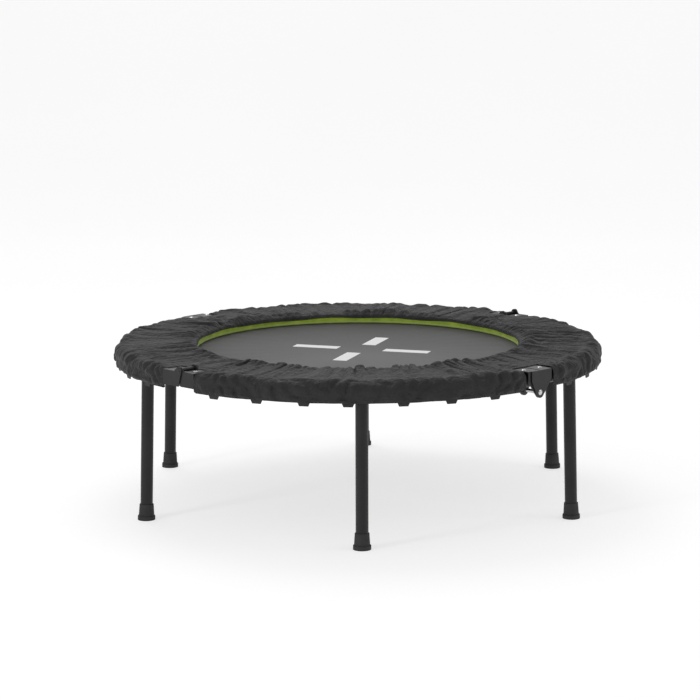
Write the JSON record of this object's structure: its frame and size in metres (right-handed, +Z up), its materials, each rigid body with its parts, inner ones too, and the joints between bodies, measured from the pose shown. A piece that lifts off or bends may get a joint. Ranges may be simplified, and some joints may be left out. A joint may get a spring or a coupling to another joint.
{
  "type": "mini trampoline",
  "caption": "Folding round fitness trampoline with a hinged steel ring, sprung mat, padded fabric cover and screw-on legs with rubber feet.",
  "frame": {"origin": "on the floor under the middle of the ring", "axes": "+Z up; -Y towards the front leg, as pictured"},
  "size_m": [1.0119, 1.0205, 0.336],
  "materials": {
    "frame_steel": "satin black powder coat",
    "leg_steel": "satin black powder coat",
    "clamp_steel": "matt black coat",
    "rivet_steel": "bright plated",
    "zinc_steel": "zinc plated",
    "spring_steel": "zinc plated wire",
    "rubber": "matt moulded",
    "mat_fabric": "woven polypropylene",
    "webbing": "woven webbing",
    "foam": "closed-cell foam",
    "cover_fabric": "woven polyester, gathered",
    "green_fabric": "woven polyester",
    "elastic": "braided elastic"
  },
  "bodies": {
    "front_right_half": {"frame_tube_front": "frame_steel", "frame_tube_right": "frame_steel", "hinge_front_left_narrow_bracket": "frame_steel", "hinge_front_right_wide_bracket": "frame_steel", "hinge_front_right_narrow_bracket": "frame_steel", "hinge_front_right_pin": "rivet_steel", "hinge_back_right_narrow_bracket": "frame_steel", "bracket_rivets_front_right": "rivet_steel", "leg_bosses_front_right": "frame_steel", "leg_studs_front_right": "zinc_steel", "mat_front_right": "mat_fabric", "mat_binding_front_right": "webbing", "webbing_tabs_front_right": "webbing", "v_rings_front_right": "zinc_steel", "springs_front_right": "spring_steel", "spring_clamps_front_right": "clamp_steel", "foam_pad_front_right": "foam", "cover_front_right": "cover_fabric", "green_band_front_right": "green_fabric", "hem_elastic_front_right": "elastic"},
    "back_left_half": {"frame_tube_back": "frame_steel", "frame_tube_left": "frame_steel", "hinge_front_left_wide_bracket": "frame_steel", "hinge_front_left_pin": "frame_steel", "hinge_back_right_wide_bracket": "frame_steel", "hinge_back_right_pin": "frame_steel", "hinge_back_left_wide_bracket": "frame_steel", "hinge_back_left_narrow_bracket": "frame_steel", "hinge_back_left_pin": "rivet_steel", "bracket_rivets_back_left": "rivet_steel", "leg_bosses_back_left": "frame_steel", "leg_studs_back_left": "zinc_steel", "mat_back_left": "mat_fabric", "mat_binding_back_left": "webbing", "webbing_tabs_back_left": "webbing", "v_rings_back_left": "zinc_steel", "springs_back_left": "spring_steel", "spring_clamps_back_left": "clamp_steel", "foam_pad_back_left": "foam", "cover_back_left": "cover_fabric", "green_band_back_left": "green_fabric", "hem_elastic_back_left": "elastic"},
    "leg_front": {"leg_tube_front": "leg_steel", "leg_insert_front": "zinc_steel", "foot_cap_front": "rubber"},
    "leg_front_right": {"leg_tube_front_right": "leg_steel", "leg_insert_front_right": "zinc_steel", "foot_cap_front_right": "rubber"},
    "leg_back_right": {"leg_tube_back_right": "leg_steel", "leg_insert_back_right": "zinc_steel", "foot_cap_back_right": "rubber"},
    "leg_back": {"leg_tube_back": "leg_steel", "leg_insert_back": "zinc_steel", "foot_cap_back": "rubber"},
    "leg_back_left": {"leg_tube_back_left": "leg_steel", "leg_insert_back_left": "zinc_steel", "foot_cap_back_left": "rubber"},
    "leg_front_left": {"leg_tube_front_left": "leg_steel", "leg_insert_front_left": "zinc_steel", "foot_cap_front_left": "rubber"}
  },
  "joints": [
    {"name": "half_fold", "type": "hinge", "parent": "front_right_half", "child": "back_left_half", "pos_m": [0, 0, 0.3285], "axis": [0.6947, 0.7193, 0], "range_deg": [0, 180]},
    {"name": "leg_front_unscrew", "type": "slide", "parent": "front_right_half", "child": "leg_front", "axis": [0.0004, -0.0279, -0.9996], "range_m": [0, 0.045]},
    {"name": "leg_front_right_unscrew", "type": "slide", "parent": "front_right_half", "child": "leg_front_right", "axis": [0.0245, -0.0135, -0.9996], "range_m": [0, 0.045]},
    {"name": "leg_back_right_unscrew", "type": "slide", "parent": "front_right_half", "child": "leg_back_right", "axis": [0.0243, 0.0137, -0.9996], "range_m": [0, 0.045]},
    {"name": "leg_back_unscrew", "type": "slide", "parent": "back_left_half", "child": "leg_back", "axis": [0.0007, 0.0279, -0.9996], "range_m": [0, 0.045]},
    {"name": "leg_back_left_unscrew", "type": "slide", "parent": "back_left_half", "child": "leg_back_left", "axis": [-0.0237, 0.0148, -0.9996], "range_m": [0, 0.045]},
    {"name": "leg_front_left_unscrew", "type": "slide", "parent": "back_left_half", "child": "leg_front_left", "axis": [-0.0244, -0.0136, -0.9996], "range_m": [0, 0.045]}
  ]
}
